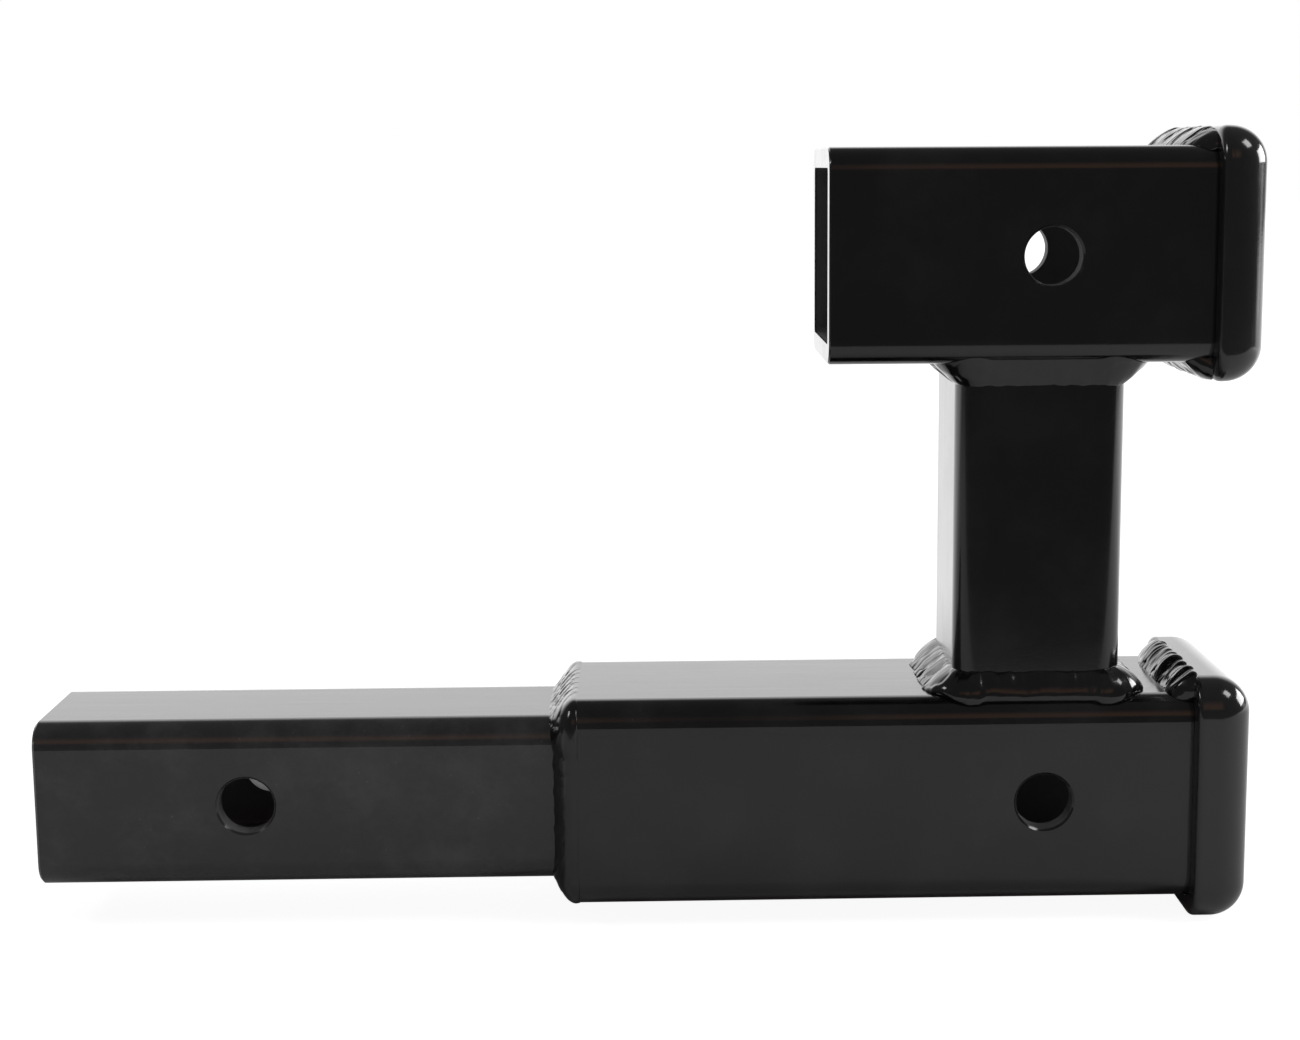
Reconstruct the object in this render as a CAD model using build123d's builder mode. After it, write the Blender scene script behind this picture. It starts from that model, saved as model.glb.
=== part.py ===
from build123d import *

import os
from math import cos, hypot, pi, sin, sqrt

# A dual receiver hitch extender, welded up from square steel tube: a shank for the vehicle's receiver, a lower
# receiver tube behind it, a riser, an upper receiver tube, and a pressed collar round each receiver's mouth.
# The origin is the centre of the shank's pin hole. +X runs from the shank to the mouths, +Z is up.

os.makedirs("parts", exist_ok=True)

# Square tubes: the receivers' bore takes the shank's size with a clearance all round
shank_size = 50.8
shank_wall = 6.0
shank_inner_corner = 1.5
socket_clearance = 0.35
receiver_wall = 6.0
receiver_inner_corner = 1.5
riser_size = 50.8
riser_wall = 5.0
riser_inner_corner = 2.5

# Lengths along the tubes
shank_end_to_pin = 63.5
pin_to_pin = 241.3
pin_to_mouth = 62.5
lower_length = 205.0
upper_length = 128.0
shank_insertion = 50.8
riser_length = 100.5
riser_to_mouth = 63.8

# Pin holes and cut edges
pin_hole_diameter = 17.0
pin_hole_edge = 0.7
shank_lead_chamfer = 0.8
cut_edge = 0.5

# Pressed collars round the mouths
lower_collar_width = 17.5
upper_collar_width = 14.8
collar_wall = 5.5
collar_flange = 5.0
collar_clearance = 0.25
collar_bend = 11.0
mouth_lead_in = 0.4

# Weld beads: the climb is measured along the piece that stands out, the reach over the piece that it stands on
shank_bead_climb = 6.5
riser_bead_climb = 7.2
riser_bead_reach = 8.0
collar_bead_climb = 7.0
upper_collar_bead_climb = 8.6
bead_edge_margin = 0.35
shoulder_margin = 2.35
bead_bulge_height = 0.8
bead_taper = 10.5
bead_root = 0.5
ripple_pitch = 12.0
ripple_depth = 0.16
ripple_slant = 0.4
patch_flatness = 1e-8

# Places and sizes that follow
receiver_bore = shank_size + 2 * socket_clearance
receiver_size = receiver_bore + 2 * receiver_wall
shank_corner = shank_inner_corner + shank_wall
receiver_corner = receiver_inner_corner + receiver_wall
riser_corner = riser_inner_corner + riser_wall
collar_size = receiver_size + 2 * collar_clearance + 2 * collar_wall
collar_corner = min(collar_bend, collar_wall + collar_clearance + receiver_wall - mouth_lead_in)
x_shank_end = -shank_end_to_pin
x_mouth = pin_to_pin + pin_to_mouth
x_lower_start = x_mouth - lower_length
x_upper_start = x_mouth - upper_length
x_tube_end = x_mouth - collar_flange
x_riser = x_mouth - riser_to_mouth
z_foot = receiver_size / 2
z_head = z_foot + riser_length
z_upper = z_head + receiver_size / 2
shank_length = x_lower_start + shank_insertion - x_shank_end


def across(x, z=0.0):
    """The plane square to the tubes at x, centred on the axis at height z and facing the mouths."""
    return Plane(origin=(x, 0, z), x_dir=(0, 1, 0), z_dir=(1, 0, 0))


def square_tube(plane, size, wall, inner_corner, length):
    """A square tube that starts on a plane and runs along its normal."""
    with BuildPart() as tube:
        with BuildSketch(plane):
            RectangleRounded(size, size, inner_corner + wall)
            RectangleRounded(size - 2 * wall, size - 2 * wall, inner_corner, mode=Mode.SUBTRACT)
        extrude(amount=length)
    return tube.part


def filled_tube(plane, size, corner, length):
    """A square tube's outside as a solid bar, which trims the weld beads to the tube."""
    with BuildPart() as bar:
        with BuildSketch(plane):
            RectangleRounded(size, size, corner)
        extrude(amount=length)
    return bar.part


def drill_pin_hole(size, x, z):
    """Cuts a pin hole through both side walls of the tube being built, and breaks its outer edges."""
    with Locations(Location((x, -size / 2, z), (90, 0, 0))):
        Hole(radius=pin_hole_diameter / 2, depth=size)
    circles = edges().filter_by(GeomType.CIRCLE)
    rims = circles.filter_by(lambda edge: abs(abs(edge.arc_center.Y) - size / 2) < 1e-3)
    chamfer(rims.filter_by(lambda edge: abs(edge.radius - pin_hole_diameter / 2) < 1e-3), length=pin_hole_edge)


# The shank slides into the vehicle's receiver, and its other end is welded inside the lower receiver tube
shank_stock = square_tube(across(x_shank_end), shank_size, shank_wall, shank_inner_corner, shank_length)
with BuildPart() as shank:
    add(shank_stock)
    chamfer(faces().sort_by(Axis.X)[0].outer_wire().edges(), length=shank_lead_chamfer)
    drill_pin_hole(shank_size, 0, 0)
shank.part.label = "shank_tube"

# The lower receiver tube holds the shank at one end and has a socket at the other
lower_stock = square_tube(
    across(x_lower_start), receiver_size, receiver_wall, receiver_inner_corner, x_tube_end - x_lower_start
)
with BuildPart() as lower_tube:
    add(lower_stock)
    drill_pin_hole(receiver_size, pin_to_pin, 0)
lower_tube.part.label = "lower_receiver_tube"

# The upper receiver tube is open at both ends
upper_stock = square_tube(
    across(x_upper_start, z_upper), receiver_size, receiver_wall, receiver_inner_corner, x_tube_end - x_upper_start
)
with BuildPart() as upper_tube:
    add(upper_stock)
    chamfer(faces().sort_by(Axis.X)[0].outer_wire().edges(), length=cut_edge)
    drill_pin_hole(receiver_size, pin_to_pin, z_upper)
upper_tube.part.label = "upper_receiver_tube"

# The riser stands on the lower receiver tube and carries the upper one
foot_plane = Plane(origin=(x_riser, 0, z_foot), x_dir=(1, 0, 0), z_dir=(0, 0, 1))
with BuildPart() as riser:
    add(square_tube(foot_plane, riser_size, riser_wall, riser_inner_corner, riser_length))
riser.part.label = "riser_tube"


def pressed_collar(width, z):
    """A pressed collar: its skirt goes over the tube's end, and its flange covers the cut and frames the mouth."""
    with BuildPart() as collar:
        with BuildSketch(across(x_mouth - width, z)):
            Rectangle(collar_size, collar_size)
        extrude(amount=width)
        bends = collar.edges().filter_by(Axis.X) + collar.faces().sort_by(Axis.X)[-1].edges()
        fillet(bends, radius=collar_corner)
        with BuildSketch(across(x_mouth - width, z)):
            pocket = receiver_size + 2 * collar_clearance
            RectangleRounded(pocket, pocket, receiver_corner + collar_clearance)
        extrude(amount=width - collar_flange, mode=Mode.SUBTRACT)
        with BuildSketch(across(x_mouth - width, z)):
            RectangleRounded(receiver_bore, receiver_bore, receiver_inner_corner)
        extrude(amount=width, mode=Mode.SUBTRACT)
        chamfer(faces().sort_by(Axis.X)[-1].inner_wires()[0].edges(), length=mouth_lead_in)
    return collar


lower_collar = pressed_collar(lower_collar_width, 0)
lower_collar.part.label = "lower_collar"
upper_collar = pressed_collar(upper_collar_width, z_upper)
upper_collar.part.label = "upper_collar"


def point_on_side(half, corner, side, distance):
    """A point on a rounded square, the direction that faces outwards there, and the point's offset along the side.

    The distance runs from the middle of one corner to the middle of the next. Side 0 faces the local +X.
    """
    flat = half - corner
    bend = corner * pi / 4
    if distance < bend:
        angle = distance / corner - pi / 4
        x, y = flat + corner * cos(angle), -flat + corner * sin(angle)
    elif distance < bend + 2 * flat:
        angle = 0.0
        x, y = half, distance - bend - flat
    else:
        angle = (distance - bend - 2 * flat) / corner
        x, y = flat + corner * cos(angle), flat + corner * sin(angle)
    turn = side * pi / 2
    return (x * cos(turn) - y * sin(turn), x * sin(turn) + y * cos(turn)), angle + turn


def bead_section(climb, reach, bulge, sink):
    """A fillet bead's section: (outwards, upwards) points over its convex face, then its root behind the face.

    The toe lies sink below the joint plane, and the root goes a little deeper, to be trimmed to the shoulder.
    """
    slope = hypot(reach, climb + sink)
    face = []
    for share in (0, 1 / 3, 2 / 3, 1):
        lift = bulge * 4 * share * (1 - share) / slope
        out = reach * share + (climb + sink) * lift
        up = climb - (climb + sink) * share + reach * lift
        face.append((out, up))
    root = [(-bead_root, 0.0)]
    if sink > 0:
        root = [(reach, -sink - bead_root), (-bead_root, -sink - bead_root)]
    return [(-bead_root, climb), *face, *root]


def shoulder_sink(y):
    """How far a receiver tube's rounded shoulder lies below its flat top, at a distance y from the middle."""
    beyond = min(max(abs(y) - (receiver_size / 2 - receiver_corner), 0.0), receiver_corner)
    return receiver_corner - sqrt(receiver_corner**2 - beyond**2)


def flat_patches(first, second, third, fourth):
    """A patch through four points: one flat face, or two triangles where the points aren't in one plane."""
    normal = (second - first).cross(third - first).normalized()
    if abs(normal.dot(fourth - first)) < patch_flatness:
        return [Face(Wire.make_polygon([first, second, third, fourth]))]
    return [Face(Wire.make_polygon([first, second, third])), Face(Wire.make_polygon([first, third, fourth]))]


def weld_run(joint, half, corner, side, middle, end, rippled=True, shoulder=False):
    """One run of weld along one side of a square tube that stands out of a joint plane.

    middle and end are the bead's (climb, reach) along the side and round the two corners. A rippled run swells and
    shrinks with each stroke, and its sections slant along the run. On a shoulder the toe follows the receiver's curve.
    """
    turn = corner * pi / 4
    flat = 2 * (half - corner)
    length = flat + 2 * turn
    quarters = 4 * round(flat / ripple_pitch)
    corner_steps = [0.0, turn / 2, turn]
    along = [turn + flat * quarter / quarters for quarter in range(1, quarters)]
    if not rippled:
        along = [bead_taper, length - bead_taper]
    sections = []
    for distance in corner_steps + along + [length - step for step in reversed(corner_steps)]:
        (x, y), angle = point_on_side(half, corner, side, distance)
        ramp = min(1.0, distance / bead_taper, (length - distance) / bead_taper)
        blend = ramp**2 * (3 - 2 * ramp)
        phase = (distance - turn) / flat * quarters * pi / 4
        swell = 1 - ripple_depth * cos(phase) ** 4 * (1 + 0.4 * sin(0.6 * distance + side)) * blend * rippled
        climb = (end[0] + (middle[0] - end[0]) * blend) * swell
        reach = (end[1] + (middle[1] - end[1]) * blend) * swell
        sink = shoulder_sink(y + sin(angle) * reach) + bead_root if shoulder else 0.0
        slant = ripple_slant * blend * rippled
        outwards = Vector(cos(angle), sin(angle), 0)
        upwards = Vector(-sin(angle) * slant, cos(angle) * slant, 1)
        foot = Vector(x, y, 0)
        outline = bead_section(climb, reach, bead_bulge_height * swell, sink)
        sections.append([joint.from_local_coords(foot + outwards * out + upwards * up) for out, up in outline])
    faces = [Face(Wire.make_polygon(sections[0])), Face(Wire.make_polygon(sections[-1]))]
    for before, after in zip(sections, sections[1:]):
        for point in range(len(before)):
            faces.extend(flat_patches(before[point - 1], before[point], after[point], after[point - 1]))
    return Solid(Shell(faces))


def weld_bead(runs, cores):
    """A bead of one or more runs that meet at the corners, trimmed to the pieces that it joins."""
    with BuildPart() as bead:
        for run in runs:
            add(run)
        for core in cores:
            add(core, mode=Mode.SUBTRACT)
    return bead


# Solid bars that trim the beads
shank_bar = filled_tube(across(x_shank_end), shank_size, shank_corner, shank_length)
lower_bar = filled_tube(across(x_lower_start), receiver_size, receiver_corner, lower_length)
upper_bar = filled_tube(across(x_upper_start, z_upper), receiver_size, receiver_corner, upper_length)
riser_bar = filled_tube(foot_plane, riser_size, riser_corner, riser_length)

# The shank's bead fills the step between the shank and the lower tube's cut end, all the way round
shank_joint = Plane(origin=(x_lower_start, 0, 0), x_dir=(0, 0, 1), z_dir=(-1, 0, 0))
shank_bead_reach = (receiver_size - shank_size) / 2 - bead_edge_margin
shank_bead = (shank_bead_climb, shank_bead_reach)
shank_runs = [
    weld_run(shank_joint, shank_size / 2, shank_corner, side, shank_bead, shank_bead, rippled=side in (0, 2))
    for side in range(4)
]
shank_weld = weld_bead(shank_runs, [shank_bar])
shank_weld.part.label = "shank_weld"

# The riser's foot and head: the runs along its sides lie on the receiver tubes' rounded shoulders
head_plane = Plane(origin=(x_riser, 0, z_head), x_dir=(1, 0, 0), z_dir=(0, 0, -1))
cross_bead = (riser_bead_climb, riser_bead_reach)
side_bead = (riser_bead_climb, (receiver_size - riser_size) / 2 - shoulder_margin)
corner_bead = (riser_bead_climb - bead_bulge_height, riser_bead_reach - 2 * bead_bulge_height)


def riser_weld(joint, receiver_bar):
    """The bead all round one end of the riser."""
    runs = []
    for side, middle in enumerate((cross_bead, side_bead, cross_bead, side_bead)):
        on_side = middle is side_bead
        runs.append(
            weld_run(
                joint, riser_size / 2, riser_corner, side, middle, corner_bead, rippled=not on_side, shoulder=True
            )
        )
    return weld_bead(runs, [riser_bar, receiver_bar])


riser_foot_weld = riser_weld(foot_plane, lower_bar)
riser_foot_weld.part.label = "riser_foot_weld"
riser_head_weld = riser_weld(head_plane, upper_bar)
riser_head_weld.part.label = "riser_head_weld"

# Each collar is welded across its top and underneath, and its sides are left bare
collar_bead_reach = collar_wall + collar_clearance - bead_edge_margin
collar_bead_end = (collar_bead_climb / 3, collar_wall / 3)
top_side, bottom_side = 0, 2


def collar_weld(width, z, side, receiver_bar, climb=collar_bead_climb):
    """One bead along the back of a collar."""
    joint = Plane(origin=(x_mouth - width, 0, z), x_dir=(0, 0, 1), z_dir=(-1, 0, 0))
    middle = (climb, collar_bead_reach)
    return weld_bead([weld_run(joint, receiver_size / 2, receiver_corner, side, middle, collar_bead_end)], [receiver_bar])


lower_collar_top_weld = collar_weld(lower_collar_width, 0, top_side, lower_bar)
lower_collar_top_weld.part.label = "lower_collar_top_weld"
upper_collar_top_weld = collar_weld(upper_collar_width, z_upper, top_side, upper_bar, upper_collar_bead_climb)
upper_collar_top_weld.part.label = "upper_collar_top_weld"
upper_collar_bottom_weld = collar_weld(upper_collar_width, z_upper, bottom_side, upper_bar)
upper_collar_bottom_weld.part.label = "upper_collar_bottom_weld"

pieces = [
    shank,
    lower_tube,
    upper_tube,
    riser,
    lower_collar,
    upper_collar,
    shank_weld,
    riser_foot_weld,
    riser_head_weld,
    lower_collar_top_weld,
    upper_collar_top_weld,
    upper_collar_bottom_weld,
]
for piece in pieces:
    export_step(piece.part, f"parts/{piece.part.label}.step")
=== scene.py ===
# %% [markdown]
# # A dual receiver hitch extender in gloss black
#
# The object is a weldment of square steel tube: a shank, two receivers, a riser between them, and
# a formed collar round each receiver's mouth. The solids already have their true sizes, and they
# come in as one fixed frame. What is left to make here is what the eye reads: weld beads with
# their ripples, soft edges, and a coat of gloss paint that hides nothing of the steel under it.

# %% Load the frame
import math

import bmesh
import bpy
from mathutils import Matrix, Vector, noise


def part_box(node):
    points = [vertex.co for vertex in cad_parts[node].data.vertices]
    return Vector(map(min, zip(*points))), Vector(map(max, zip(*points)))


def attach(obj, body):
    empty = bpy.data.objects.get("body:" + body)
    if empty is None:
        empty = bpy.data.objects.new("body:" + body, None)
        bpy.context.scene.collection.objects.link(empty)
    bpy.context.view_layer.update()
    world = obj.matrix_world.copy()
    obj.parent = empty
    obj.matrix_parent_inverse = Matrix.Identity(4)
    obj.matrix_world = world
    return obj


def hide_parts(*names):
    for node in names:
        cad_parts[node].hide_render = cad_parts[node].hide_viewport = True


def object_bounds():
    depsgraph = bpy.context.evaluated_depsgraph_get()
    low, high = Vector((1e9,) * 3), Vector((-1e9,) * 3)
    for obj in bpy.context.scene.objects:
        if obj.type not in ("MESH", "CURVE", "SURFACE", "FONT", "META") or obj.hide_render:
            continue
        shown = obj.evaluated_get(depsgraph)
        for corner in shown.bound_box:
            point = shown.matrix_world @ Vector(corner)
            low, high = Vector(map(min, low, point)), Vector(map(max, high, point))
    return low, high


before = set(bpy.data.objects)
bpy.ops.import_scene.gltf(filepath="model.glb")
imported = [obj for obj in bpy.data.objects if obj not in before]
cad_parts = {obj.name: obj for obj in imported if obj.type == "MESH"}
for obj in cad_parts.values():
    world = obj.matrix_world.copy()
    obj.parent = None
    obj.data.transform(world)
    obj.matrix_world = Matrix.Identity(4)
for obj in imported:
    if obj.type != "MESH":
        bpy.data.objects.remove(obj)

cad_low, cad_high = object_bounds()
print("frame:", len(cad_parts), "nodes, from", cad_low, "to", cad_high)

# %% [markdown]
# ## Sizes
#
# Every place is read from the solids, so the beads follow them. A millimetre is a value of its
# own, because the scene is in metres and a weld is easier to think of in millimetres.

# %% Sizes read from the frame
MM = 0.001
TUBE_CORNER = 7.5 * MM

shank_low, shank_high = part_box("shank_tube")
lower_low, lower_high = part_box("lower_receiver_tube")
upper_low, upper_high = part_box("upper_receiver_tube")
riser_low, riser_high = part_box("riser_tube")
lower_collar_low, lower_collar_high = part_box("lower_collar")
upper_collar_low, upper_collar_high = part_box("upper_collar")

shank_half = shank_high.z
receiver_half = lower_high.y
riser_half = riser_high.y
collar_half = lower_collar_high.y
riser_x = (riser_low.x + riser_high.x) / 2
upper_z = (upper_low.z + upper_high.z) / 2
step_to_receiver = receiver_half - shank_half
step_to_collar = collar_half - receiver_half
print(f"step at the shank: {step_to_receiver / MM:.2f} mm")
print(f"step at the collars: {step_to_collar / MM:.2f} mm")

# %% [markdown]
# ## Camera
#
# The viewpoint is low and a little left of the riser, about two thirds of a metre away, so the
# top faces are seen at a grazing angle and the mouths are hidden. A camera is placed by its own
# turn here, from the yaw, pitch and roll that line up the tubes' edges with the picture.

# %% Camera
FRAME_WIDTH, FRAME_HEIGHT = 1300, 1040
EYE = Vector((125.3, -660.6, 190.6)) * MM
YAW, PITCH, ROLL = math.radians(1.373), math.radians(8.797), math.radians(-0.342)
FOCAL_PIXELS = 2162.0
CENTRE_X, CENTRE_Y = 708.5, 500.1
NEAREST, FARTHEST = 0.05, 50

level_ahead = Vector((math.sin(YAW), math.cos(YAW), 0))
ahead = level_ahead * math.cos(PITCH) - Vector((0, 0, math.sin(PITCH)))
level_right = Vector((math.cos(YAW), -math.sin(YAW), 0))
level_up = level_right.cross(ahead)
right = level_right * math.cos(ROLL) + level_up * math.sin(ROLL)
up = level_up * math.cos(ROLL) - level_right * math.sin(ROLL)

camera_data = bpy.data.cameras.new("camera")
camera_data.lens = FOCAL_PIXELS / FRAME_WIDTH * camera_data.sensor_width
camera_data.shift_x = (FRAME_WIDTH / 2 - CENTRE_X) / FRAME_WIDTH
camera_data.shift_y = (CENTRE_Y - FRAME_HEIGHT / 2) / FRAME_WIDTH
camera_data.clip_start, camera_data.clip_end = NEAREST, FARTHEST
camera = bpy.data.objects.new("camera", camera_data)
turn = Matrix((right, up, -ahead)).transposed()
camera.matrix_world = Matrix.Translation(EYE) @ turn.to_4x4()
bpy.context.collection.objects.link(camera)
bpy.context.scene.camera = camera
print(f"camera: {camera_data.lens:.1f} mm lens")
print(f"shift: {camera_data.shift_x:.3f} across, {camera_data.shift_y:.3f} up")

# %% [markdown]
# ## Shader helper
#
# A finish is easier to read as arithmetic than as a web of nodes. `Wire` is an output socket that
# can be added, subtracted and multiplied, and each step adds a Math node. Any other node comes
# from `Finish.node`.

# %% Shader helper
class Wire:
    """An output socket. Arithmetic on it adds Math nodes to its tree."""

    def __init__(self, finish, socket):
        self.finish = finish
        self.socket = socket

    def math(self, operation, *values):
        return self.finish.node("Math", {"operation": operation}, dict(enumerate(values)))

    def __add__(self, other):
        return self.math("ADD", self, other)

    def __sub__(self, other):
        return self.math("SUBTRACT", self, other)

    def __rsub__(self, other):
        return self.math("SUBTRACT", other, self)

    def __mul__(self, other):
        return self.math("MULTIPLY", self, other)

    __radd__ = __add__
    __rmul__ = __mul__

    def within(self, low, high):
        """0 below low, 1 above high, with a smooth step between."""
        settings = {"interpolation_type": "SMOOTHSTEP"}
        sockets = {"Value": self, "From Min": low, "From Max": high}
        return self.finish.node("MapRange", settings, sockets)


class Finish:
    """A node tree being written, for a material or for the world."""

    def __init__(self, owner):
        owner.use_nodes = True
        self.tree = owner.node_tree
        self.tree.nodes.clear()

    def node(self, kind, settings=None, sockets=None, output=0):
        """Adds a node, sets it, gives its sockets values or links, and returns an output."""
        node = self.tree.nodes.new("ShaderNode" + kind)
        for key, value in (settings or {}).items():
            setattr(node, key, value)
        for key, value in (sockets or {}).items():
            if isinstance(value, Wire):
                self.tree.links.new(value.socket, node.inputs[key])
            else:
                node.inputs[key].default_value = value
        return Wire(self, node.outputs[output]) if len(node.outputs) else None

    def mix(self, share, first, second):
        """A colour between two colours."""
        return self.node("Mix", {"data_type": "RGBA"}, {0: share, 6: first, 7: second}, output=2)


# %% [markdown]
# ## Gloss black paint on drawn steel
#
# The paint is nearly black, so its colour hardly shows and its reflections are everything. A
# clear, even gloss would look like glass. Real paint on tube has three things more: an
# orange-peel skin finer than a millimetre, long faint waves along the direction in which the tube
# was rolled, and a little dust that dulls and greys it in patches. The skin and the waves are
# small bumps, and the dust changes colour and roughness. The shank, which is handled most, has a
# cloudy grey haze as well. Inside the tubes and in the pin holes the coat is thin and dull over a
# greyer undercoat. That grey is also painted light: it lightens the bores as the light that comes
# in through the holes and the open ends would, more in the shank than in the receivers.

# %% Inside of a tube
SKIN_DEPTH = (0.3 * MM, 1.0 * MM)
END_DEPTH = (0.2 * MM, 0.8 * MM)


def inside_of(finish, place, low, high):
    """1 inside a tube that lies along X, up to just under its skin, and 0 on its skin and ends."""
    sockets = {"Vector": place}
    x, y, z = (finish.node("SeparateXYZ", None, sockets, output=axis) for axis in "XYZ")
    flat = high.y - TUBE_CORNER
    sideways = y.math("MAXIMUM", y.math("ABSOLUTE", y) - flat, 0.0)
    upright = z.math("MAXIMUM", z.math("ABSOLUTE", z - (low.z + high.z) / 2) - flat, 0.0)
    from_flat = x.math("SQRT", sideways * sideways + upright * upright)
    under_skin = 1.0 - from_flat.within(TUBE_CORNER - SKIN_DEPTH[1], TUBE_CORNER - SKIN_DEPTH[0])
    return under_skin * x.within(low.x + END_DEPTH[0], low.x + END_DEPTH[1])


# %% Paint
PAINT_BLACK = (0.0030, 0.0030, 0.0034, 1)
# The grey that dust, haze and the inside of the tubes mix towards; inside the bores it is also
# painted light.
DUST_AND_BORE_LIGHT_GREY = (0.150, 0.150, 0.154, 1)
PEEL_SCALE, STREAK_SCALE, PATCH_SCALE, SPECK_SCALE = 1400.0, 170.0, 38.0, 260.0
STREAK_STRETCH = 0.06
PEEL_HEIGHT, WAVE_HEIGHT = 0.010 * MM, 0.045 * MM
CLEAR_COAT, PRIMER_DULLNESS = 0.35, 0.40


def black_paint(
    name, rolled_along, gloss, waves=WAVE_HEIGHT, haze=0.0, mottle=0.10, tube=None, primer_and_painted_bore_light=0.0
):
    """Gloss black paint. rolled_along is 0 for X, 2 for Z, or None where nothing was rolled.

    haze is an even grey bloom, mottle a patchy one, and primer the greyness inside the tube's box,
    which is also painted light for the light that gets into the bore.
    """
    material = bpy.data.materials.new(name)
    finish = Finish(material)
    place = finish.node("TexCoord", output=3)
    stretch = [1.0, 1.0, 1.0]
    if rolled_along is not None:
        stretch[rolled_along] = STREAK_STRETCH
    rolled = finish.node("Mapping", {"vector_type": "POINT"}, {"Vector": place, "Scale": stretch})

    def grain(where, scale, detail, roughness):
        sockets = {"Vector": where, "Scale": scale, "Detail": detail, "Roughness": roughness}
        return finish.node("TexNoise", None, sockets)

    def bumps(height, distance, under=None):
        sockets = {"Strength": 1.0, "Distance": distance, "Height": height}
        if under:
            sockets["Normal"] = under
        return finish.node("Bump", None, sockets)

    skin = grain(place, PEEL_SCALE, 2.0, 0.5)
    streaks = grain(rolled, STREAK_SCALE, 3.0, 0.6)
    patches = grain(place, PATCH_SCALE, 5.0, 0.65)
    cells = {"Vector": place, "Scale": SPECK_SCALE, "Randomness": 1.0}
    specks = finish.node("TexVoronoi", {"feature": "F1"}, cells)
    speck = (1.0 - specks.within(0.05, 0.11)) * patches.within(0.47, 0.60)
    dusty = patches.within(0.42, 0.72) * 0.45 + speck * 0.5
    relief = bumps(skin, PEEL_HEIGHT, under=bumps(streaks, waves))
    inside = inside_of(finish, place, *tube) if tube else 0.0
    # The base colour mixes dust and haze, and the greyer inside, which also paints in the light
    # that gets into the bore.
    sockets = {
        "Base Color": finish.mix(dusty * mottle + haze + inside * primer_and_painted_bore_light, PAINT_BLACK, DUST_AND_BORE_LIGHT_GREY),
        "Roughness": gloss + dusty * 0.10 + streaks * 0.05 + inside * PRIMER_DULLNESS,
        "Normal": relief,
        "IOR": 1.5,
        "Coat Weight": CLEAR_COAT - inside * CLEAR_COAT,
        "Coat Roughness": 0.06,
    }
    shader = finish.node("BsdfPrincipled", None, sockets)
    finish.node("OutputMaterial", None, {"Surface": shader})
    return material


# %% One paint for each kind of surface
ALONG_X, ALONG_Z = 0, 2
GENTLE_WAVES = 0.040 * MM
lower_box = (lower_low, lower_high)
upper_box = (upper_low, upper_high)
shank_box = (shank_low, shank_high)

# The inside grey differs from tube to tube because it also paints in the light that reaches each
# bore: most in the shank, least in the lower receiver.
lower_paint = black_paint(
    "black_paint_on_lower_tube", ALONG_X, gloss=0.13, mottle=0.16, tube=lower_box, primer_and_painted_bore_light=0.45
)
upper_paint = black_paint(
    "black_paint_on_upper_tube", ALONG_X, gloss=0.13, tube=upper_box, primer_and_painted_bore_light=0.60
)
shank_paint = black_paint(
    "black_paint_hazed", ALONG_X, gloss=0.15, haze=0.16, mottle=0.45, tube=shank_box, primer_and_painted_bore_light=0.84
)
riser_paint = black_paint("black_paint_up_riser", ALONG_Z, gloss=0.13)
collar_paint = black_paint("black_paint_on_collar", None, gloss=0.10, waves=GENTLE_WAVES, haze=0.06)
weld_paint = black_paint("black_paint_on_weld", None, gloss=0.12, waves=GENTLE_WAVES)
print("paints:", [material.name for material in bpy.data.materials])

# %% Paint the solids
paints = {
    "shank_tube": shank_paint,
    "lower_receiver_tube": lower_paint,
    "upper_receiver_tube": upper_paint,
    "riser_tube": riser_paint,
    "lower_collar": collar_paint,
    "upper_collar": collar_paint,
}
for node, paint in paints.items():
    solid = bpy.data.objects[node]
    solid.data.materials.clear()
    solid.data.materials.append(paint)
print("painted:", ", ".join(paints))

# %% [markdown]
# ## The track of a weld
#
# Each bead runs round the foot of a square tube with rounded corners. A track is a function that
# turns a distance along the weld into a point at the tube's foot, the direction that faces away
# from the tube, and the direction up the tube. The distance starts at the middle of a corner.

# %% Weld tracks
def square_track(origin, east, north, up_tube, half, corner=TUBE_CORNER):
    """A track round a rounded square, and the length of a side from corner to corner."""
    flat = half - corner
    bend = corner * math.pi / 4
    side_length = 2 * (flat + bend)

    def track(distance):
        side, rest = divmod(distance % (4 * side_length), side_length)
        if rest < bend:
            angle = rest / corner - math.pi / 4
            x, y = flat + corner * math.cos(angle), -flat + corner * math.sin(angle)
        elif rest < bend + 2 * flat:
            angle = 0.0
            x, y = half, rest - bend - flat
        else:
            angle = (rest - bend - 2 * flat) / corner
            x, y = flat + corner * math.cos(angle), flat + corner * math.sin(angle)
        turn = side * math.pi / 2
        away = angle + turn
        point = origin + east * (x * math.cos(turn) - y * math.sin(turn))
        point = point + north * (x * math.sin(turn) + y * math.cos(turn))
        return point, east * math.cos(away) + north * math.sin(away), up_tube

    return track, side_length


X, Y, Z = Vector((1, 0, 0)), Vector((0, 1, 0)), Vector((0, 0, 1))

# %% [markdown]
# ## One bead
#
# A bead is a skin wrapped round its track, so it can start as a flat grid: the grid's X becomes
# the distance along the weld and its Y goes round the section, over the face and back through the
# steel. Moving the grid's points is then a kind of sculpting in code. The molten pool freezes in
# steps, so the face is a row of overlapping scales. Each scale is a lobe with a sharp crease
# behind it, it carries finer lines of its own, and it pushes the toe of the weld outwards in a
# small scallop.

# %% Bead helper
FACE_SHARE = 0.78
SECTION_STEPS = 40
LONG_STEP = 0.42 * MM
ROOT_DEPTH = 0.8 * MM


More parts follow.
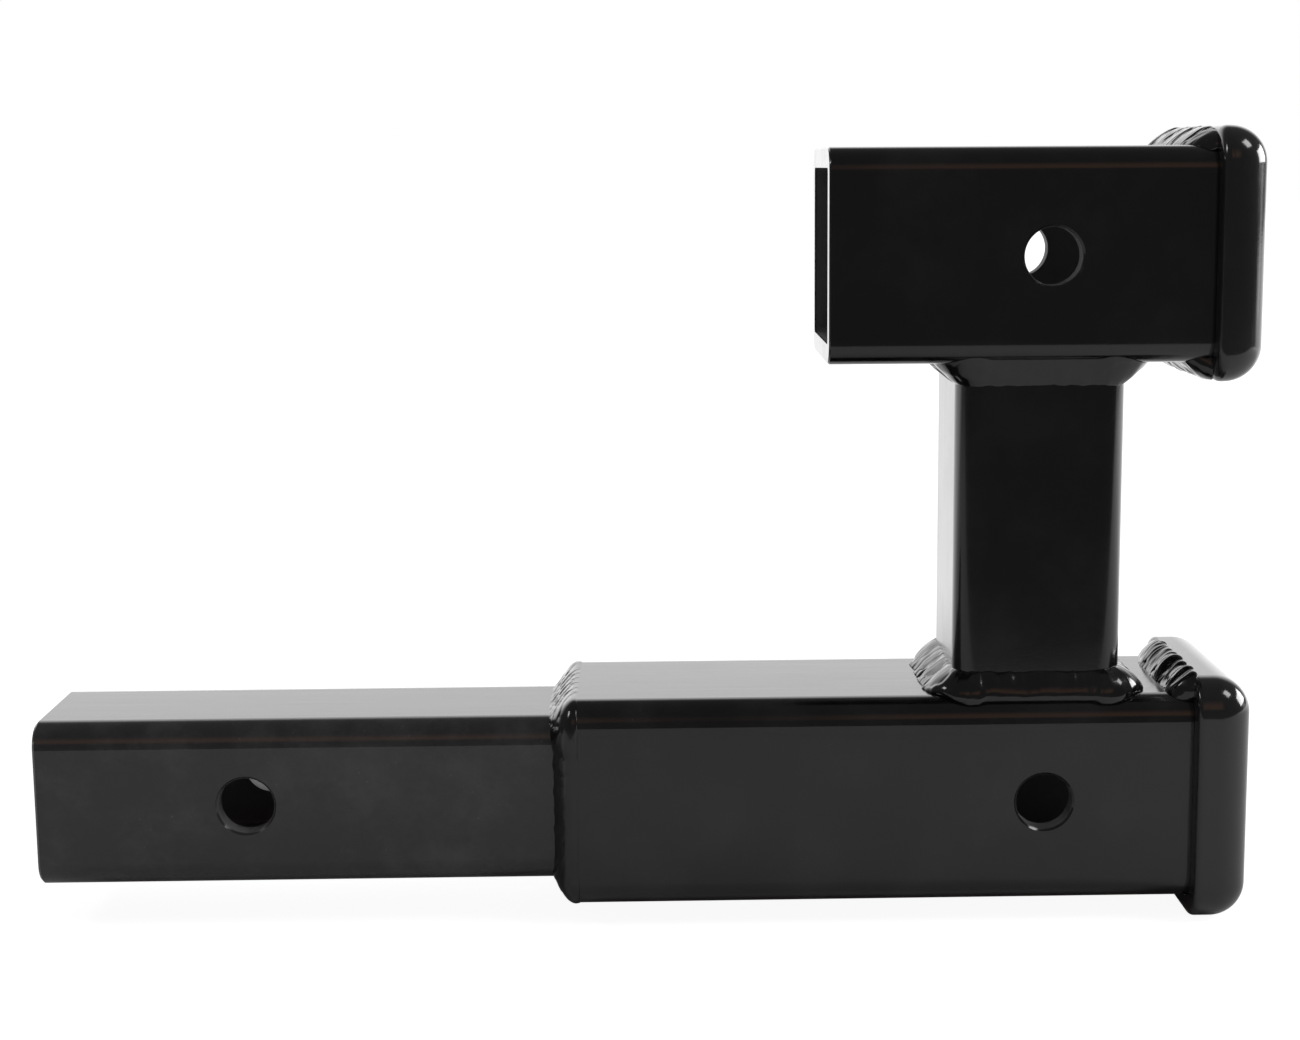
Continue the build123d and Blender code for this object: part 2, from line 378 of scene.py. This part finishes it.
def bend_through(points, share):
    """A point on the smooth curve that four pairs of numbers pull into shape, and its normal."""
    rest = 1 - share
    weights = (rest**3, 3 * rest**2 * share, 3 * rest * share**2, share**3)
    slopes = (
        -3 * rest**2,
        3 * rest**2 - 6 * rest * share,
        6 * rest * share - 3 * share**2,
        3 * share**2,
    )

    def blend(factors, axis):
        return sum(factor * point[axis] for factor, point in zip(factors, points))

    out, height = blend(weights, 0), blend(weights, 1)
    run, fall = blend(slopes, 0), blend(slopes, 1)
    length = math.hypot(run, fall)
    return out, height, -fall / length, run / length


def between(first, second, share):
    """A pair of numbers between two pairs."""
    return first[0] + (second[0] - first[0]) * share, first[1] + (second[1] - first[1]) * share


def scale(phase):
    """The height of one frozen scale: a quick rise, a round back and a sharp crease."""
    return math.sin(math.pi * (phase % 1.0) ** 0.45)


def knot_height(knots, along, length):
    """The height of the knots near a place, each a round swelling."""
    total = 0.0
    for place, width, height in knots:
        distance = (along - place + length / 2) % length - length / 2
        total += height * math.exp(-((distance / width) ** 2))
    return total


def stand_for(name, node, mesh, paint):
    """Turns a finished mesh into a piece that stands for a solid."""
    bmesh.ops.remove_doubles(mesh, verts=mesh.verts, dist=0.002 * MM)
    bmesh.ops.recalc_face_normals(mesh, faces=mesh.faces)
    for face in mesh.faces:
        face.smooth = True
    data = bpy.data.meshes.new(name)
    mesh.to_mesh(data)
    mesh.free()
    piece = bpy.data.objects.new(name, data)
    bpy.context.collection.objects.link(piece)
    data.materials.append(paint)
    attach(piece, "root")
    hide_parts(node)
    print(f"{name}: {len(data.polygons)} faces, for {node}")


# %% [markdown]
# The two functions that follow do the sculpting. The first works out what changes along the weld:
# how high the bead climbs up the tube, how far it reaches from it, and the noise that keeps both
# uneven. The second turns a share of the face, from the top of the bead to its toe, into a point
# of the section.

# %% Bead, place by place
FLUTTER_DETAIL = 2.7
WANDER_CLIMB, FLUTTER_CLIMB = 0.06, 0.03
KNOT_CLIMB, KNOT_REACH = 0.8, 0.5
FLUTTER_REACH = 0.3 * MM


def slice_of(bead, along, length, track, start, closed):
    """The bead at one place along its track, as a dictionary of sizes."""
    point, away, up_tube = track(start + along)
    circle = Vector((math.cos(along / length * math.tau), math.sin(along / length * math.tau), 0))
    wander = noise.noise(circle * bead["detail"] + Z * bead["seed"])
    flutter = noise.noise(circle * (FLUTTER_DETAIL * bead["detail"]) - Z * bead["seed"])
    knot = knot_height(bead["knots"], along, length)
    size = 1.0
    if not closed:
        first_taper, last_taper = bead["taper"]
        end = 1 - min(1.0, along / first_taper, (length - along) / last_taper)
        size = math.sqrt(max(0.0, 1 - end * end))
    cycle = along / bead["pitch"] + bead["drift"] * wander
    ripple = bead["ripple"](along)
    scallop = ripple * scale(cycle + bead["lean"] + bead["curl"]) * bead["scallop"]
    climb = bead["climb"](along) * (1 + WANDER_CLIMB * wander + FLUTTER_CLIMB * flutter)
    climb += knot * KNOT_CLIMB
    reach = bead["reach"](point, away, along) + knot * KNOT_REACH
    reach += bead["stray"](along) * (scallop + FLUTTER_REACH * flutter)
    return {
        "point": point,
        "away": away,
        "up_tube": up_tube,
        "circle": circle,
        "wander": wander,
        "flutter": flutter,
        "knot": knot,
        "size": size,
        "cycle": cycle,
        "ripple": ripple,
        "bulge": bead["bulge"](along),
        "overhang": bead["overhang"](along),
        "climb": climb,
        "reach": reach,
        "sink": bead["sink"](point + away * reach),
    }


# %% Bead, round its section
PLAIN_PUSH, PLAIN_PULL = 0.30, 0.67
HANGING_PUSH, HANGING_PULL = (0.42, 0.84), (1.75, 0.16)
LAPPING_PULL = (0.50, 0.85)
CROWN_FLATNESS = 0.7
LINES_PER_SCALE, LINE_WANDER, FLUTTER_SHIFT = 3.0, 3, 0.10
ROLLS_ACROSS = 2.2


def share_of(sizes, shares):
    """A share of each of two sizes."""
    return sizes[0] * shares[0], sizes[1] * shares[1]


def face_point(bead, here, share):
    """A point of the bead's face, as its distance from the tube and its height up the tube."""
    climb, reach, lap = here["climb"], here["reach"], bead["lap"]
    top, toe = (0.0, climb), (reach, -here["sink"] - lap)
    push, pull = between(top, toe, PLAIN_PUSH), between(top, toe, PLAIN_PULL)
    if lap:
        pull = (reach + lap * LAPPING_PULL[0], -here["sink"] + lap * LAPPING_PULL[1])
    push = between(push, share_of((reach, climb), HANGING_PUSH), here["overhang"])
    pull = between(pull, share_of((reach, climb), HANGING_PULL), here["overhang"])
    out, height, normal_out, normal_up = bend_through((top, push, pull, toe), share)
    crown = math.sin(math.pi * share) ** CROWN_FLATNESS
    bow = (2 * share - 1) ** 2 * bead["curl"]
    phase = here["cycle"] + bow + share * bead["lean"] + FLUTTER_SHIFT * here["flutter"]
    line_phase = math.tau * phase * LINES_PER_SCALE + LINE_WANDER * here["wander"]
    lines = math.sin(line_phase) * bead["lines"]
    ripple = here["ripple"] * (scale(phase) + lines)
    across = Vector((0, share * ROLLS_ACROSS, bead["seed"]))
    roll = noise.noise(here["circle"] * bead["roll_detail"] + across) * bead["roll"]
    lift = (here["bulge"] + ripple + roll + here["knot"]) * crown
    return out + normal_out * lift, height + normal_up * lift


def root_point(bead, here, share):
    """A point of the bead's hidden back, which goes from its toe through the steel to its top."""
    toe_height = -here["sink"] - bead["lap"]
    toe, deep = (here["reach"], toe_height), (-ROOT_DEPTH, toe_height - ROOT_DEPTH)
    if share < 0.5:
        return between(toe, deep, share * 2)
    return between(deep, (-ROOT_DEPTH, here["climb"]), share * 2 - 1)


# %% Whole bead
def make_bead(name, node, track, start, length, bead, closed=False):
    """Builds one weld bead and lets it stand for a solid. bead holds its sizes."""
    mesh = bmesh.new()
    long_steps = round(length / LONG_STEP)
    bmesh.ops.create_grid(mesh, x_segments=long_steps, y_segments=SECTION_STEPS, size=0.5)
    for vert in mesh.verts:
        here = slice_of(bead, (vert.co.x + 0.5) * length, length, track, start, closed)
        around = vert.co.y + 0.5
        if around <= FACE_SHARE:
            out, height = face_point(bead, here, around / FACE_SHARE)
        else:
            out, height = root_point(bead, here, (around - FACE_SHARE) / (1 - FACE_SHARE))
        offset = here["away"] * out + here["up_tube"] * height
        vert.co = here["point"] + offset * here["size"]
    stand_for(name, node, mesh, weld_paint)


# %% Sizes that change along a bead
EDGE_SEARCH_STEPS = 12


def steady(value):
    """A size that is the same all along a bead."""
    return lambda along: value


def in_mm(*sizes):
    """Sizes that are given in millimetres."""
    return [size * MM for size in sizes]


def by_side(values, side_length, blend=0.16):
    """A size that differs from side to side of a square track and changes softly at its corners."""

    def size(along):
        side, share = divmod(along / side_length, 1)
        here, before, after = (values[int(side + offset) % len(values)] for offset in (0, -1, 1))
        if share < blend:
            return before + (here - before) * (0.5 + 0.5 * share / blend)
        if share > 1 - blend:
            return after + (here - after) * (0.5 + 0.5 * (1 - share) / blend)
        return here

    return size


def reach_of(size):
    """The reach of a bead whose size is known along it."""
    return lambda point, away, along: size(along)


def reach_to_square(centre, axes, half, corner, beyond):
    """The reach that ends just beyond the edge of a larger rounded square."""

    def reach(point, away, along):
        distance = 0.0
        for _ in range(EDGE_SEARCH_STEPS):
            place = point + away * distance - centre
            corners = [max(abs(place.dot(axis)) - (half - corner), 0.0) for axis in axes]
            flats = max(abs(place.dot(axis)) - half for axis in axes)
            gap = math.hypot(*corners) - corner if all(corners) else flats
            distance -= gap
        return distance + beyond

    return reach


def no_sink(point):
    """The toe of a bead that ends on a flat face."""
    return 0.0


def shoulder(point):
    """How far a receiver's rounded shoulder lies behind its flat face at a point over it."""
    beyond = min(max(abs(point.y) - (receiver_half - TUBE_CORNER), 0.0), TUBE_CORNER * 0.98)
    return TUBE_CORNER - math.sqrt(TUBE_CORNER**2 - beyond**2)


# %% [markdown]
# A bead is described by a few sizes. Its climb is the height up the tube and its reach the
# distance from it. Its toe sinks where the steel under it curves away, and laps over a melted
# edge. Bulge, ripple and roll lift the face, and stray lets the scales push the toe outwards.
# Pitch is the length of one scale, lean and curl are its slant and its bow across the bead, and
# lines are the finer ones on it. Detail and drift say how fine and how strong the uneven spacing
# is. A knot is a place, a width and a height.

# %% What most beads share
usual_bead = {
    "sink": no_sink,
    "lap": 0.0,
    "overhang": steady(0.0),
    "stray": steady(0.1),
    "detail": 9.0,
    "drift": 0.30,
    "lines": 0.035,
}

# %% [markdown]
# ## The shank's bead
#
# It fills the step where the shank enters the lower receiver tube, all the way round. The tube's
# cut edge melted, so the bead laps over it. On top it was laid in quick, slanting strokes. Down
# the sides it is a smooth, narrow band, with a small knot near each corner where the welder
# turned the work.

# %% Shank bead
joint = Vector((lower_low.x, 0, 0))
track, side_length = square_track(joint, Z, Y, -X, shank_half)
knot_places = (-4.5 * MM, side_length, 2 * side_length, 3 * side_length)
shank_bead = usual_bead | {
    "seed": 3.0,
    "climb": by_side(in_mm(7.4, 5.8, 6.6, 5.8), side_length),
    "reach": reach_to_square(joint, (Y, Z), receiver_half, TUBE_CORNER, -0.14 * MM),
    "lap": 1.9 * MM,
    "bulge": by_side(in_mm(0.0, 0.75, 0.0, 0.75), side_length),
    "ripple": by_side(in_mm(0.30, 0.05, 0.30, 0.05), side_length),
    "pitch": 6.4 * MM,
    "curl": 0.4,
    "lean": -2.6,
    "scallop": 0.5,
    "roll": 0.15 * MM,
    "roll_detail": 5.0,
    "knots": [(place, 3.0 * MM, 0.35 * MM) for place in knot_places],
}
make_bead("shank_weld_bead", "shank_weld", track, 0.0, 4 * side_length, shank_bead, closed=True)

# %% [markdown]
# ## The riser's beads
#
# The beads across the receiver tubes lie on a flat face and are wide and scaly. The beads along
# the sides run down over the tubes' rounded shoulders, so they look like a smooth swelling. At
# the foot that swelling hangs over a little. The fat knots at the corners are where one pass
# ended on top of the next.

# %% Riser beads
foot_track, riser_side = square_track(Vector((riser_x, 0, riser_low.z)), X, Y, Z, riser_half)
head_track, riser_side = square_track(Vector((riser_x, 0, riser_high.z)), X, -Y, -Z, riser_half)


def riser_bead(seed, climb, bulge, overhang, knots):
    """The sizes of one of the riser's two beads, in millimetres for each side and for each knot.

    Sides 0 and 2 lie across the receiver tube. A knot is a corner, a width and a height.
    """
    return usual_bead | {
        "seed": seed,
        "climb": by_side(in_mm(*climb), riser_side),
        "reach": reach_of(by_side(in_mm(7.8, 3.5, 7.8, 3.5), riser_side)),
        "sink": shoulder,
        "stray": by_side((1.0, 0.1, 1.0, 0.1), riser_side),
        "bulge": by_side(in_mm(*bulge), riser_side),
        "overhang": by_side(overhang, riser_side),
        "ripple": by_side(in_mm(0.70, 0.06, 0.80, 0.06), riser_side),
        "pitch": 11.0 * MM,
        "curl": 0.45,
        "lean": 0.35,
        "scallop": 1.3,
        "roll": 0.25 * MM,
        "roll_detail": 4.0,
        "knots": [(corner * riser_side, *in_mm(width, height)) for corner, width, height in knots],
    }


foot_bead = riser_bead(
    seed=11.0,
    climb=(7.4, 7.2, 7.0, 7.2),
    bulge=(0.1, 0.0, -0.1, 0.0),
    overhang=(0.0, 1.0, 0.0, 1.0),
    knots=((0, 6.0, 0.8), (1, 4.0, 0.7), (2, 4.0, 0.5), (3, 6.0, 0.3)),
)
head_bead = riser_bead(
    seed=23.0,
    climb=(6.6, 6.6, 6.6, 6.6),
    bulge=(-0.9, 0.0, -0.9, 0.0),
    overhang=(0.0, 0.0, 0.0, 0.0),
    knots=((0, 4.0, 0.5), (1, 4.5, 0.6), (2, 4.0, 0.4), (3, 4.0, 0.4)),
)
for end, track, bead in (("foot", foot_track, foot_bead), ("head", head_track, head_bead)):
    names = (f"riser_{end}_bead", f"riser_{end}_weld")
    make_bead(*names, track, 0.0, 4 * riser_side, bead, closed=True)

# %% [markdown]
# ## The collars' beads
#
# The collars are welded on only across the flats that the picture shows. These beads are the
# roughest here: heavy lobes that lap over the collar's back edge, each laid in one slow stroke.
# The upper collar's look like strands of a rope, and the lower collar's top bead is folded and
# deeply creased.

# %% Collar bead helper
TOP, BOTTOM = 0, 2
SHARE_OF_SIDE = 0.98


def make_collar_bead(place, back_x, centre_z, side, sizes):
    """Lays a bead along one side of a collar's back, centred on that side."""
    track, side_length = square_track(Vector((back_x, 0, centre_z)), Z, Y, -X, receiver_half)
    length = side_length * SHARE_OF_SIDE
    start = side * side_length + (side_length - length) / 2
    bead = usual_bead | {
        "climb": steady(8.0 * MM),
        "reach": reach_of(steady(step_to_collar - 0.4 * MM)),
        "lap": 0.8 * MM,
        "bulge": steady(0.4 * MM),
        "pitch": 13.5 * MM,
        "curl": 0.35,
        "lean": 0.55,
        "scallop": 1.0,
        "roll": 0.4 * MM,
        "roll_detail": 4.0,
        "taper": in_mm(4.5, 4.5),
        "knots": [],
    }
    make_bead(f"{place}_bead", f"{place}_weld", track, start, length, bead | sizes)


# %% Collar beads
folded = {
    "seed": 31.0,
    "ripple": steady(0.60 * MM),
    "reach": reach_of(steady(step_to_collar)),
    "lap": 1.6 * MM,
    "roll": 0.3 * MM,
    "roll_detail": 2.2,
    "climb": steady(6.6 * MM),
    "bulge": steady(0.1 * MM),
    "pitch": -14.0 * MM,
    "detail": 3.0,
    "drift": 0.55,
    "lines": 0.09,
    "curl": -0.40,
    "lean": 0.15,
    "scallop": 2.5,
    "stray": steady(0.6),
    "taper": in_mm(4.5, 16.0),
    "knots": [in_mm(8, 4.0, 0.6), in_mm(24, 5.0, 1.0), in_mm(41, 4.0, 0.8)],
}
roped = {
    "seed": 41.0,
    "ripple": steady(0.4 * MM),
    "climb": steady(8.8 * MM),
    "roll": 0.25 * MM,
    "lean": 0.3,
    "taper": in_mm(14.0, 3.0),
}
roped_below = {
    "seed": 43.0,
    "ripple": steady(0.5 * MM),
    "climb": steady(7.0 * MM),
    "bulge": steady(0.1 * MM),
}
make_collar_bead("lower_collar_top", lower_collar_low.x, 0.0, TOP, folded)
make_collar_bead("upper_collar_top", upper_collar_low.x, upper_z, TOP, roped)
make_collar_bead("upper_collar_bottom", upper_collar_low.x, upper_z, BOTTOM, roped_below)

# %% [markdown]
# ## The collars
#
# A collar was pressed from one blank: its outside bends over into the flange round the mouth in
# one wide round, and the cut edge at its back was ground round. Each collar is swept from one
# section. Every point of the section is a ring, a rounded square with its own half width and
# corner, so the outside can be soft while the bore stays nearly square. Two rings close together
# hold an edge crisp.

# %% A collar's section
COLLAR_BEND = 11.0 * MM
COLLAR_FLANGE = 5.0 * MM
LOWER_BACK_EDGE, UPPER_BACK_EDGE = 1.8 * MM, 3.0 * MM
BORE_HALF, BORE_CORNER = 25.75 * MM, 1.5 * MM
POCKET_HALF, POCKET_CORNER = 32.0 * MM, 7.75 * MM
LEAD_IN = 0.4 * MM
HOLD, WIDE_HOLD = 0.1 * MM, 0.3 * MM


def arc(last_angle, steps):
    """Angles from zero to the last one in degrees, in even steps."""
    return [math.radians(last_angle * step / steps) for step in range(steps + 1)]


def collar_rings(depth, back_edge):
    """A collar's section: for each ring its place along the bore, half width and corner."""
    rings = []
    for angle in arc(90, 6):
        inset = back_edge * (1 - math.sin(angle))
        place = back_edge * (1 - math.cos(angle))
        rings.append((place, collar_half - inset, COLLAR_BEND - inset))
    rings.append((back_edge + HOLD, collar_half, COLLAR_BEND))
    rings.append((depth - COLLAR_BEND - WIDE_HOLD, collar_half, COLLAR_BEND))
    for angle in arc(88, 20):
        inset = COLLAR_BEND * (1 - math.cos(angle))
        place = depth - COLLAR_BEND * (1 - math.sin(angle))
        rings.append((place, collar_half - inset, COLLAR_BEND - inset))
    mouth = BORE_HALF + LEAD_IN
    ledge = depth - COLLAR_FLANGE
    rings += [
        (depth, mouth + HOLD, BORE_CORNER + LEAD_IN),
        (depth, mouth, BORE_CORNER + LEAD_IN),
        (depth - LEAD_IN, BORE_HALF, BORE_CORNER),
        (depth - LEAD_IN - HOLD, BORE_HALF, BORE_CORNER),
        (ledge + HOLD, BORE_HALF, BORE_CORNER),
        (ledge, BORE_HALF, BORE_CORNER),
        (ledge, BORE_HALF + HOLD, BORE_CORNER),
        (ledge, POCKET_HALF, POCKET_CORNER),
        (ledge - HOLD, POCKET_HALF, POCKET_CORNER),
        (HOLD, POCKET_HALF, POCKET_CORNER),
        (0.0, POCKET_HALF, POCKET_CORNER),
        (0.0, POCKET_HALF + HOLD, POCKET_CORNER),
    ]
    return rings


# %% Collars
CORNER_STEPS = 18
SPOKES_PER_SIDE = CORNER_STEPS + 3


def ring_point(spoke, half, corner):
    """Where a spoke meets a rounded square: round its corners, and at the two ends of each flat."""
    side, step = divmod(spoke, SPOKES_PER_SIDE)
    angle = math.radians(90 * min(step, CORNER_STEPS) / CORNER_STEPS)
    flat_end = half - corner
    y, z = flat_end + corner * math.cos(angle), flat_end + corner * math.sin(angle)
    if step > CORNER_STEPS:
        y -= WIDE_HOLD if step == CORNER_STEPS + 1 else 2 * flat_end - WIDE_HOLD
    turn = side * math.pi / 2
    cos, sin = math.cos(turn), math.sin(turn)
    return Y * (y * cos - z * sin) + Z * (y * sin + z * cos)


def make_collar(name, node, low, high, back_edge):
    """Sweeps a collar's section round its square, corner by corner."""
    centre = Vector((low.x, 0, (low.z + high.z) / 2))
    rings = collar_rings(high.x - low.x, back_edge)
    spokes = 4 * SPOKES_PER_SIDE
    mesh = bmesh.new()
    bmesh.ops.create_grid(mesh, x_segments=spokes, y_segments=len(rings), size=0.5)
    for vert in mesh.verts:
        spoke = round((vert.co.x + 0.5) * spokes) % spokes
        place, half, corner = rings[round((vert.co.y + 0.5) * len(rings)) % len(rings)]
        vert.co = centre + X * place + ring_point(spoke, half, corner)
    stand_for(name, node, mesh, collar_paint)


lower_collar_box = (lower_collar_low, lower_collar_high)
upper_collar_box = (upper_collar_low, upper_collar_high)
make_collar("lower_collar_pressed", "lower_collar", *lower_collar_box, LOWER_BACK_EDGE)
make_collar("upper_collar_pressed", "upper_collar", *upper_collar_box, UPPER_BACK_EDGE)

# %% [markdown]
# ## Studio
#
# A gloss black object is a mirror, so the light is designed for what it reflects. Behind and
# above it is white, which the top faces pick up at their grazing angle. In front it is a dim
# grey, which keeps the flat sides dark, with one dull brown window that shows as a thin line in
# the rounded edges. The camera sees plain white, and the floor keeps a soft shadow.

# %% Floor
FLOOR_SIZE = 12.0
FLOOR_FRONT = -0.34
PALE, WHITE = (0.86, 0.86, 0.87, 1), (1, 1, 1, 1)
GLOW_STRENGTH = 1.5

floor_mesh = bmesh.new()
bmesh.ops.create_grid(floor_mesh, x_segments=1, y_segments=1, size=FLOOR_SIZE / 2)
floor_place = (0, FLOOR_FRONT + FLOOR_SIZE / 2, cad_low.z)
bmesh.ops.translate(floor_mesh, verts=floor_mesh.verts, vec=floor_place)
floor_data = bpy.data.meshes.new("floor")
floor_mesh.to_mesh(floor_data)
floor_mesh.free()
floor = bpy.data.objects.new("floor", floor_data)
bpy.context.collection.objects.link(floor)

floor_material = bpy.data.materials.new("pale_floor")
finish = Finish(floor_material)
pale = finish.node("BsdfDiffuse", None, {"Color": PALE})
glow = finish.node("Emission", None, {"Color": WHITE, "Strength": GLOW_STRENGTH})
to_camera = finish.node("LightPath", output="Is Camera Ray")
to_gloss = finish.node("LightPath", output="Is Glossy Ray")
spot = finish.node("TexCoord", output="Object")
from_middle = finish.node("VectorMath", {"operation": "LENGTH"}, {0: spot}, output="Value")
behind = finish.node("SeparateXYZ", None, {"Vector": spot}, output="Y")
seen_glow = to_camera * (0.62 + from_middle.within(0.45, 1.5) * 0.2)
mirrored_glow = to_gloss * behind.within(0.12, 0.5) * 0.85
shader = finish.node("MixShader", None, {0: seen_glow + mirrored_glow, 1: pale, 2: glow})
finish.node("OutputMaterial", None, {"Surface": shader})
floor_data.materials.append(floor_material)
print("floor:", FLOOR_SIZE, "m square, at height", round(cad_low.z, 4))

# %% World
ROOM_GREY = (0.115, 0.115, 0.120, 1)
WINDOW_BROWN = (0.42, 0.26, 0.19, 1)
BACKDROP_WHITE = (1.38, 1.38, 1.38, 1)

world = bpy.data.worlds.new("studio")
bpy.context.scene.world = world
sky = Finish(world)
direction = sky.node("TexCoord", output="Generated")
across = sky.node("SeparateXYZ", None, {"Vector": direction}, output="X")
toward = sky.node("SeparateXYZ", None, {"Vector": direction}, output="Y")
height = sky.node("SeparateXYZ", None, {"Vector": direction}, output="Z")
backdrop_share = toward.within(0.55, 0.90) * (1.0 - height.within(0.45, 0.80))
beside_bar = across.math("ABSOLUTE", across - 0.03).within(0.02, 0.09)
window_height = height.within(0.22, 0.32) * (1.0 - height.within(0.42, 0.72))
window_width = 1.0 - across.math("ABSOLUTE", across).within(0.30, 0.45)
window_share = (1.0 - toward.within(-0.80, -0.35)) * window_height * beside_bar * window_width
room = sky.mix(window_share, ROOM_GREY, WINDOW_BROWN)
studio = sky.mix(backdrop_share, room, BACKDROP_WHITE)
seen_by_camera = sky.node("LightPath", output="Is Camera Ray")
backdrop = sky.node("Background", None, {"Color": sky.mix(seen_by_camera, studio, WHITE)})
sky.node("OutputWorld", None, {"Surface": backdrop})
print("world: white behind, dim grey in front, and a brown window")


# %% Lamps
def softbox(name, place, aim, size, watts):
    """A rectangular lamp that faces a point."""
    lamp = bpy.data.lights.new(name, "AREA")
    lamp.shape = "RECTANGLE"
    lamp.size, lamp.size_y = size
    lamp.energy = watts
    stand = bpy.data.objects.new(name, lamp)
    stand.location = place
    stand.rotation_euler = (Vector(aim) - Vector(place)).to_track_quat("-Z", "Y").to_euler()
    stand.visible_camera = False
    bpy.context.collection.objects.link(stand)
    return stand


middle = (cad_low + cad_high) / 2
riser_foot, lower_collar_top = (0.20, -0.03, 0.03), (0.30, -0.03, 0.03)
between_collars, upper_collar_side = (0.30, -0.03, 0.12), (0.30, -0.03, 0.17)
top = softbox("top_softbox", (-0.10, 0.25, 1.4), middle, size=(1.6, 1.2), watts=3.5)
top.visible_glossy = False
softbox("right_window", (1.70, 0.37, 0.51), upper_collar_side, size=(0.9, 0.57), watts=15)
softbox("right_strip", (1.72, 0.43, 0.12), between_collars, size=(0.30, 0.16), watts=0.11)
softbox("left_lamp", (-0.90, -0.02, 0.78), riser_foot, size=(0.26, 0.26), watts=1.6)
softbox("front_right_lamp", (1.10, -0.35, 1.13), lower_collar_top, size=(0.40, 0.42), watts=3.6)
print("lamps: one overhead, a window and a strip at the right, a small lamp on either side")

# %% Colour management
bpy.context.scene.view_settings.view_transform = "Standard"
